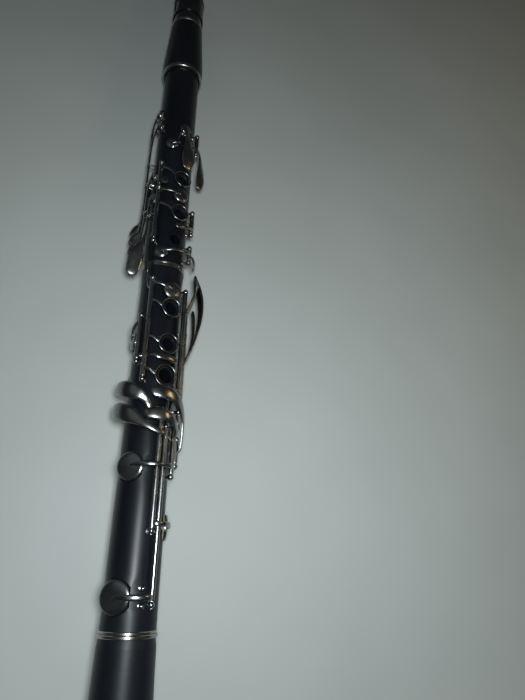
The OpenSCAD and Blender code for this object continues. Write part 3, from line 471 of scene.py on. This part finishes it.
# Keys on a short pivot: angle, radius, place, posts' distance either way and their ball
PIVOTS = {"a": (0, 18, 449.5, 4.6, BALL), "register": (180, 18.2, 448, 4.6, BALL),
          "side_1": (-76, 19.2, 372, 2.2, 0.9), "side_2": (-90, 19.2, 378, 2.2, 0.9),
          "side_3": (-104, 19.2, 406, 2.2, 0.9), "side_4": (-118, 19.2, 428, 2.2, 0.9)}


def body_r(y):
    if y < JOINT_TOP:
        return JOINT_R - JOINT_TAPER * (y - JOINT_FOOT) / JOINT_LENGTH
    return UPPER_R


def seat(p):
    """How far from the bore's axis the tone hole under a pad ends."""
    return math.sqrt(body_r(p[1]) ** 2 - (p[3] + CHIMNEY_WALL) ** 2) + SEAT_RISE


def cup_top(name):
    return seat(PADS[name]) + CUP_H


def cup(piece, name, turn=None):
    """A pad cup: a rolled rim, a turned step and a low dome."""
    p = PADS[name]
    r = p[2]
    dome_r = r - 0.5
    outline = [(dome_r, 2), (dome_r, 0.85), (r - 0.4, 0.72), (r - 0.1, 0.72), (r, 0.85), (r, 1.95),
               (r - 0.08, 2.1), (r - 0.3, 2.24), (r - 0.42, RIM_H)]
    for q in range(6, 90, 2):
        x = dome_r * math.cos(math.radians(q))
        ripple = RIPPLE * math.cos(2 * math.pi * x / RIPPLE_PITCH)
        outline.append((x, RIM_H + DOME_H * math.sin(math.radians(q)) + ripple))
    outline += [(0, CUP_H), (0, 2.02)]
    piece.lathe(at_cyl(p[0], seat(p), p[1]), direction(p[0]), outline, turn, 64)


def tube(piece, name, i=0, turn=None):
    """A hinge tube between two posts, with a fine collar at each end."""
    a, r, ys = LINES[name]
    y0, y1 = ys[i] + BALL + PLAY, ys[i + 1] - BALL - PLAY
    collar = [(TUBE + 0.02, 0), (TUBE + 0.06, 0.1), (TUBE + 0.06, 0.7), (TUBE - 0.02, 0.8)]
    inner = ROD + 0.05
    outline = [(inner, y0)] + [(x, y0 + h) for x, h in collar]
    outline += [(x, y1 - h) for x, h in reversed(collar)] + [(inner, y1)]
    piece.lathe(at_cyl(a, r, 0), BORE, outline, turn, 32, closed=True)


def sideways(a):
    """Across the bore, at right angles to direction(a)."""
    return Vector((math.cos(math.radians(a)), 0, -math.sin(math.radians(a))))


def boss(piece, name):
    """The short hinge tube between the two posts of a pivot."""
    a, r, y, off, ball = PIVOTS[name]
    half = off - ball - PLAY
    inner, outer = PIVOT_ROD + 0.05, PIVOT_ROD + 0.65
    outline = [(inner, -half), (outer - 0.05, -half), (outer, 0.06 - half), (outer, half - 0.06),
               (outer - 0.05, half), (inner, half)]
    piece.lathe(at_cyl(a, r, y), sideways(a), outline, None, 32, closed=True)


def finger_ring(piece, name, line, arm_y, turn):
    """A rounded ring over a finger hole, and the arm that joins it to its hinge line."""
    y, r = RING_HOLES[name]
    profile = [(r, 0.35), (r + 0.12, 0.1), (r + 0.3, 0), (r + 0.6, 0), (r + 0.8, 0.1),
               (r + 0.9, 0.35), (r + 0.88, 0.7), (r + 0.7, 0.92), (r + 0.45, 1), (r + 0.2, 0.92),
               (r + 0.02, 0.7)]
    foot = Vector((0, y, RING_TOP - RING_H))
    piece.lathe(foot, Vector((0, 0, 1)), profile, turn, 64, closed=True)
    mid_r, mid_h = r + RING_W / 2, RING_TOP - RING_H / 2
    edge = math.degrees(math.atan2(-mid_r, mid_h))
    a, lr = LINES[line][:2]
    arm = [(a, lr, arm_y, 1.5, 1), (a + 12, lr + 0.7, arm_y, 1.3, 0.8),
           (edge - 7, 18.5, (arm_y + y) / 2, 1.2, 0.55),
           (edge, math.hypot(mid_r, mid_h), y + 0.2 * (arm_y - y), 1.6, 0.4)]
    sweep(piece, arm, turn, finish=False)


# Every lever of every key, as rows for sweep
LEVERS = {
    "register": [
        [(180, cup_top("register") - 0.2, 509, 1.4, 0.6), (180, 17.9, 501, 1.5, 0.8),
         (180, 18.4, 478, 1.5, 0.9), (180, 18.4, 448, 1.7, 1), (180, 18.9, 434, 2.2, 0.9),
         (180, 19.6, 427, 3.6, 0.8), (180, 19.2, 420.5, 3.4, 0.7)],
    ],
    "a": [
        [(-3, cup_top("a") - 0.2, 458.5, 1.3, 0.5), (-1, 17.9, 454, 1.5, 0.7),
         (0, 18.2, 449.5, 1.8, 0.9), (1, 19.2, 443.5, 2.5, 0.9), (2, 20.6, 434, 4.6, 1),
         (3, 20.9, 426, 5.6, 1), (3.5, 20.2, 421, 4.4, 0.9)],
    ],
    "g_sharp": [
        [(38, 18, 446, 1.4, 1), (28, 16.8, 444.5, 1.3, 0.6), (15, 15.7, 443.4, 1.3, 0.5),
         (0, 15.4, 443, 1.3, 0.45), (-12, 15.7, 442.7, 1.3, 0.45), (-20, 17.1, 442.2, 1.2, 0.45),
         (-27, 17.3, 441.6, 1.1, 0.45), (-35, cup_top("g_sharp") - 0.15, 441, 1, 0.5)],
        [(38, 18, 446.5, 1.4, 1), (45, 19.7, 443.6, 1.6, 0.9), (49.5, 20.7, 439, 1.9, 0.9, -10),
         (52, 21.4, 430, 3.2, 0.9, -32), (53, 21.6, 420, 3.9, 0.9, -42),
         (53.5, 21.2, 414, 3.2, 0.8, -42)],
    ],
    "side_1": [
        [(-84, cup_top("side_1") - 0.15, 390, 1.4, 0.5), (-80, 18.1, 385.3, 1.1, 0.6),
         (-77, 19.2, 378.5, 1, 0.7), (-76, 19.3, 372, 1, 0.8), (-77, 19.2, 362, 1, 0.7),
         (-80, 19.6, 354.5, 1.2, 0.8, 20), (-85, 21, 346, 3.6, 1, 62),
         (-90, 22.3, 337, 5.1, 1.1, 74), (-94, 22.8, 329.5, 4.6, 1, 76)],
    ],
    "side_2": [
        [(-92, cup_top("side_2") - 0.15, 413, 1.4, 0.5), (-91, 18.2, 407, 1.1, 0.6),
         (-90, 19.2, 399, 1, 0.7), (-90, 19.3, 378, 1, 0.8), (-91, 19.2, 367, 1, 0.7),
         (-96, 20, 355.5, 1.2, 0.8, 20), (-101, 21.6, 350.5, 3.3, 1, 60),
         (-104, 22.6, 345, 4.1, 1, 78)],
    ],
    "side_3": [
        [(-88, cup_top("side_3") - 0.15, 463, 1.4, 0.5), (-91, 18.1, 457, 1.1, 0.6),
         (-98, 19.2, 447, 1, 0.7), (-104, 19.2, 430, 1, 0.7), (-104, 19.3, 406, 1, 0.8),
         (-105, 19.2, 385, 1, 0.7), (-108, 20, 366.5, 1.2, 0.8, 20), (-111, 21.7, 361, 3.3, 1, 60),
         (-113, 22.6, 355.5, 4.1, 1, 82)],
    ],
    "side_4": [
        [(-100, cup_top("side_4") - 0.15, 478, 1.4, 0.5), (-103, 18.1, 472, 1.1, 0.6),
         (-111, 19.2, 461, 1, 0.7), (-118, 19.2, 445, 1, 0.7), (-118, 19.3, 428, 1, 0.8),
         (-118, 19.2, 400, 1, 0.7), (-119, 20, 377, 1.2, 0.8, 20), (-120, 21.8, 371, 3.3, 1, 60),
         (-121, 22.8, 365.5, 4.1, 1, 82)],
    ],
    "e_flat": [
        [(46, 18, 379.5, 1.6, 1), (58, 18.8, 379.3, 1.5, 0.8), (70, 18.3, 378.7, 1.3, 0.7),
         (83, cup_top("e_flat") - 0.2, 378, 0.9, 0.5)],
        [(46, 18, 371, 1.4, 1), (36, 19.3, 368.6, 1.2, 0.8), (20, 19.6, 366.6, 1.2, 0.8),
         (5, 19.3, 365, 1.5, 0.8), (-5, 19, 364.4, 2, 0.8)],
    ],
    "c_sharp": [
        [(40, 18.5, 347.5, 1.4, 1), (28, 19.7, 346.2, 1.3, 0.7), (10, 19.3, 345, 1.2, 0.6),
         (-8, 18.8, 344.2, 1.2, 0.6), (-22, 18, 343.4, 1.2, 0.6),
         (-37, cup_top("c_sharp") - 0.2, 342.6, 0.9, 0.5)],
        [(40, 18.5, 346.3, 1.4, 1), (43, 20.6, 345.3, 1.8, 0.8), (46, 21.6, 343.4, 2.6, 0.8),
         (49, 21.8, 341, 3.1, 0.8), (51, 21.5, 338.8, 2.8, 0.7)],
    ],
    "b": [
        [(-66, 18, 286, 1.5, 1), (-76, 18.6, 286, 1.4, 0.8), (-88, 18.2, 282.5, 1.3, 0.7),
         (-99, cup_top("b") - 0.2, 277, 0.9, 0.5)],
        [(-66, 18, 264, 1.3, 0.9), (-58, 16.3, 264.4, 1.3, 0.55), (-48, 15.5, 264.8, 1.4, 0.5),
         (-41, 16, 265, 1.3, 0.5), (-35, 18, 264.6, 1.3, 0.6), (-24, 19.3, 263.2, 1.8, 0.8),
         (-8, 19.3, 262.6, 2.1, 0.9), (8, 19.3, 262.4, 2.3, 0.9), (15, 19.3, 262.4, 2, 0.8)],
    ],
    "low_e": [
        [(8.5, 18.5, 213, 1.4, 0.9), (3, 21.2, 213.2, 1.4, 0.8), (-4, 22.1, 213.6, 1.5, 0.75),
         (-14, 22.2, 214.8, 1.7, 0.75), (-26, 22, 216.8, 2, 0.8), (-38, 21.8, 219.2, 2.8, 1),
         (-52, 21.8, 222.2, 4.4, 1.4), (-68, 22, 224.8, 5.3, 1.6), (-85, 22, 227, 5.4, 1.6),
         (-98, 21.8, 228.4, 4.4, 1.4)],
        [(8.5, 18.5, 212.8, 1.3, 0.9), (15, 18.4, 212.8, 1.2, 0.7), (22, 18, 212.8, 1.2, 0.6)],
    ],
    "f_sharp": [
        [(-3.5, 18.5, 162.5, 1.5, 1), (1, 20.5, 162.5, 1.5, 0.8), (8.5, 21.4, 162.5, 1.4, 0.75),
         (20, 21.3, 162.5, 1.4, 0.75), (34, 19.9, 162.2, 1.5, 0.7), (48, 18, 161.8, 1.2, 0.6),
         (61, cup_top("f_sharp") - 0.2, 161.5, 0.7, 0.5)],
        [(-3.5, 18.5, 222.5, 1.4, 0.9), (-12, 18.1, 223.4, 1.5, 0.7), (-21, 17.9, 226.3, 1.5, 0.7),
         (-29, 18.2, 230.3, 1.7, 0.75), (-37, 19.9, 234.2, 2.5, 0.9), (-48, 21.2, 237, 4, 1.3),
         (-62, 21.7, 239, 5.2, 1.6), (-78, 21.9, 240.6, 5.4, 1.6), (-91, 21.7, 241.8, 4.4, 1.4)],
        [(-3.5, 18.5, 223, 1.3, 0.9), (5, 18.4, 223, 1.2, 0.7), (14, 17.9, 223, 1.2, 0.6)],
    ],
    "low_f": [
        [(33, 18.5, 213.5, 1.4, 0.9), (29, 20.6, 215.5, 1.5, 0.9), (22, 22, 218.5, 1.9, 0.8),
         (11, 22.9, 221.8, 2.9, 0.9), (-3.5, 23.3, 224, 3.7, 1.1), (-17, 23, 224.6, 3.9, 1.2),
         (-26, 22.6, 224.4, 3.4, 1.1)],
        [(33, 18.5, 216.8, 1.2, 0.9), (40, 18.4, 216.8, 1.1, 0.7), (46.5, 17.9, 216.8, 1.1, 0.6)],
    ],
    "a_flat": [
        [(52, 18.5, 206.5, 1.5, 1), (62, 19.4, 207.5, 1.5, 0.8), (76, 18.5, 210, 1.3, 0.7),
         (91, cup_top("a_flat") - 0.2, 212.8, 0.7, 0.5)],
        [(52, 18.5, 204.5, 1.4, 0.9), (50.5, 20.9, 207.2, 1.5, 0.9), (48.5, 21.7, 211.5, 1.6, 0.8),
         (46.5, 22.2, 217, 1.8, 0.8), (42, 22.4, 224.5, 2.1, 0.8), (34, 22.4, 230.5, 2.8, 0.8),
         (21, 22.3, 235.4, 3.6, 1), (6, 22.1, 237.8, 4.2, 1.1), (-9, 22, 238.5, 4.2, 1.2),
         (-18, 21.8, 238.5, 3.6, 1.1)],
    ],
    "left_e": [
        [(48.5, 18.5, 262, 1.5, 1), (52, 21, 268, 1.6, 0.9), (57, 25, 281, 1.8, 0.9, -15),
         (61, 28, 298, 2.3, 0.9, -32), (63.5, 28.3, 312, 2.7, 0.9, -38),
         (66, 26.5, 323, 2.7, 0.9, -38), (67.5, 24, 331, 2.2, 0.8, -38)],
        [(48.5, 18.5, 236, 1.3, 0.9), (36, 16.2, 235.5, 1, 0.6), (28, 15.9, 233.5, 0.9, 0.6),
         (22, 15.9, 228, 0.8, 0.6), (22, 16, 220, 0.8, 0.6), (22, 16.2, 213, 0.8, 0.6)],
    ],
    "left_f_sharp": [
        [(36, 18.5, 298, 1.5, 1), (39.5, 20.8, 302, 1.6, 0.9), (43.5, 23, 310, 2.2, 0.9, -12),
         (47.5, 24.1, 318.5, 2.9, 0.9, -26), (49.5, 24, 325.5, 2.9, 0.9, -30),
         (50, 23.3, 329.5, 2.4, 0.8, -30)],
        [(36, 18.5, 244.5, 1.3, 0.9), (24, 16.8, 242, 1, 0.6), (16, 16.2, 238, 0.9, 0.6),
         (13, 16.1, 232, 0.9, 0.6), (12, 16.2, 223, 0.9, 0.6)],
    ],
    "left_f": [
        [(61, 18.5, 266, 1.5, 1), (65, 21, 270, 1.6, 0.9), (70, 23.5, 279, 2, 0.9),
         (74, 25, 290, 2.5, 0.9), (76, 25, 301, 2.8, 0.9), (77, 24.3, 307, 2.4, 0.8)],
        [(61, 18.5, 226, 1.3, 0.9), (55, 16.6, 225.5, 0.9, 0.6), (50, 15.9, 222, 0.9, 0.6),
         (48, 16, 216.8, 0.9, 0.6)],
    ],
}
# Arms of the keys that stand open, drawn closed
OPEN_ARMS = {
    "low_e": [(8.5, 18.5, 125, 1.5, 1.1), (-2, 20.4, 125, 1.5, 0.9), (-18, 20.3, 125, 1.5, 0.8),
              (-36, 19, 125, 1.6, 0.7), (-48, 17.6, 125, 1.3, 0.6), (-60, 17, 125, 0.7, 0.5)],
    "low_f": [(33, 18.5, 195, 1.5, 1), (22, 20.9, 195, 1.5, 0.9), (8, 21.4, 195, 1.4, 0.75),
              (-10, 21.1, 195, 1.4, 0.75), (-31, 19.2, 195, 1.5, 0.7), (-47, 17.5, 194.6, 1.2, 0.6),
              (-61, cup_top("low_f") - 0.1, 194.2, 0.7, 0.5)],
}
# Keys that turn alone on a hinge line; the line, the body and the cup go by the key's name
HINGED = ("a_flat", "f_sharp", "low_e", "low_f", "b", "left_e", "left_f_sharp", "left_f", "g_sharp",
          "e_flat", "c_sharp")
for key in HINGED:
    piece = Piece()
    tube(piece, key)
    if key in PADS and key not in OPEN_ARMS:
        cup(piece, key)
    for rows in LEVERS[key]:
        sweep(piece, rows)
    if key in OPEN_ARMS:
        turn = swing(LINES[key], OPEN_TURN)
        cup(piece, key, turn)
        sweep(piece, OPEN_ARMS[key], turn)
    piece.make(key + ("_lever" if key.startswith("left") else "_key"), key)

for key in ("register", "a", "side_1", "side_2", "side_3", "side_4"):
    piece = Piece()
    boss(piece, key)
    cup(piece, key)
    for rows in LEVERS[key]:
        sweep(piece, rows, start=True)
    piece.make(key.replace("side_", "side_key_") if key.startswith("side") else key + "_key", key)

piece = Piece()
turn = swing(LINES["lower_rings"], -RING_TURN)
tube(piece, "lower_rings", turn=turn)
for hole, arm_y in (("four", 302), ("five", 276), ("six", 254)):
    finger_ring(piece, hole, "lower_rings", arm_y, turn)
cup(piece, "lower_vent", turn)
sweep(piece, [(-48, 18, 315.5, 1.5, 1), (-36, 18.8, 315.5, 1.4, 0.8), (-20, 18.3, 314.4, 1.3, 0.7),
              (-3, cup_top("lower_vent") - 0.2, 313.2, 0.9, 0.5)], turn)
sweep(piece, [(-48, 18, 312, 1.4, 0.9), (-56, 17.5, 314, 1.3, 0.6), (-61, 17, 319, 1.2, 0.5),
              (-63, 17, 325, 1.3, 0.5), (-63, 17, 330, 1.6, 0.5)], turn)
piece.make("lower_ring_key", "lower_ring")

piece = Piece()
turn = swing(LINES["upper_rings"], -RING_TURN)
tube(piece, "upper_rings", 0, turn)
finger_ring(piece, "two", "upper_rings", 381.5, turn)
cup(piece, "upper_vent", turn)
sweep(piece, [(-57, 18, 393.6, 1.5, 1), (-42, 19, 393.6, 1.4, 0.8), (-22, 18.3, 393.2, 1.3, 0.7),
              (-3, cup_top("upper_vent") - 0.2, 392.6, 0.9, 0.5)], turn)
sweep(piece, [(-57, 18, 357, 1.4, 0.9), (-63, 18.6, 355.5, 1.2, 0.75),
              (-67.5, 19, 350.5, 1.1, 0.7), (-67, 19.2, 341, 1.2, 0.7),
              (-64.5, 19.2, 332, 1.7, 0.6), (-63, 19.2, 326, 1.9, 0.5)])
piece.make("upper_bridge_key", "upper_bridge")

piece = Piece()
tube(piece, "upper_rings", 1, turn)
finger_ring(piece, "one", "upper_rings", 414.5, turn)
SMALL_CUP = [(0, 0), (2.9, 0), (3.1, 0.15), (3.05, 0.6), (2.7, 0.85), (1.6, 0.98), (0, 1)]
piece.lathe(at_cyl(-44, 17.9, 402.5), direction(-44), SMALL_CUP, turn)
sweep(piece, [(-57, 18, 403, 1.5, 0.9), (-51, 18.5, 403, 1.3, 0.6),
              (-45, 18.5, 402.6, 1.2, 0.4)], turn)
piece.make("first_ring_key", "first_ring")

piece = Piece()
turn = swing(LINES["thumb"], RING_TURN)
tube(piece, "thumb", turn=turn)
THUMB_RING = [(6.7, 0.1), (6.85, 0), (7.55, 0), (7.7, 0.15), (7.7, 0.65), (7.4, 0.95), (7, 1),
              (6.75, 0.85)]
piece.lathe(at_cyl(180, 15.2, 405), direction(180), THUMB_RING, turn, 64, closed=True)
sweep(piece, [(-135, 17.6, 407, 1.5, 0.9), (-145, 17.9, 406.5, 1.4, 0.7),
              (-154, 17.4, 406, 1.6, 0.45)], turn)
cup(piece, "thumb_vent", turn)
sweep(piece, [(-135, 17.6, 393, 1.5, 0.9), (-145, 17.9, 393, 1.4, 0.7),
              (-156, 17.2, 393, 1.2, 0.5)], turn)
piece.make("thumb_ring_key", "thumb_ring")


# ---- Posts with turned feet, and the heads of the hinge screws ----
def ball_outline(r, ball):
    return [(ball * math.cos(math.radians(q)), r + ball * math.sin(math.radians(q)))
            for q in range(-54, 90, 9)] + [(0, r + ball)]


def post(piece, a, r, y, ball):
    """A post from the body out to a ball on the hinge line."""
    b = body_r(y)
    neck = ball * 0.5
    outline = [(ball * 0.72, b - 1.6), (ball * 0.95, b - 0.3), (ball, b + 0.15),
               (ball * 0.95, b + 0.4), (neck + 0.15, b + 0.6), (neck, (b + r - ball * 0.7) / 2),
               (neck + 0.12, r - ball * 0.86)]
    piece.lathe(Vector((0, y, 0)), direction(a), outline + ball_outline(r, ball), None, 40)


def screw_head(piece, a, r, y, way):
    """A domed head just proud of the end post's ball."""
    axis = BORE * way
    outline = [(0, 0), (0.95, 0), (0.95, 0.35), (0.85, 0.45), (0.3, 0.5), (0, 0.5)]
    piece.lathe(at_cyl(a, r, y) + axis * (BALL - 0.35), axis, outline, None, 24)


def line_posts(piece, names):
    for name in names:
        a, r, ys = LINES[name]
        for y in ys:
            post(piece, a, r, y, BALL)
        screw_head(piece, a, r, ys[0], -1)
        screw_head(piece, a, r, ys[-1], 1)


# Two small posts for springs beside the low E arm: angle, radius, places and ball
SPRING_ANGLE, SPRING_R, SPRING_PLACES, SPRING_BALL = -8, 17.6, (120.8, 129.4), 1.6
piece = Piece()
line_posts(piece, ("lower_rings", "b", "f_sharp", "low_e", "low_f", "a_flat", "left_f_sharp",
                   "left_e", "left_f"))
for y in SPRING_PLACES:
    post(piece, SPRING_ANGLE, SPRING_R, y, SPRING_BALL)
piece.make("lower_posts", "instrument_body")

# A pivot's two posts stand side by side, from inside the body's wall
PIVOT_FOOT, PIVOT_NECK = 13, 14.2
piece = Piece()
line_posts(piece, ("upper_rings", "thumb", "g_sharp", "e_flat", "c_sharp"))
for a, r, y, off, ball in PIVOTS.values():
    for way in (-1, 1):
        shift = sideways(a) * off * way
        outline = [(ball * 0.7, PIVOT_FOOT), (ball * 0.7, PIVOT_NECK),
                   (ball * 0.55, PIVOT_NECK + 0.4), (ball * 0.5, r - ball * 0.9)]
        outline += ball_outline(r, ball)
        piece.lathe(Vector((0, y, 0)) + shift, direction(a), outline, None, 32)
piece.make("upper_posts", "instrument_body")
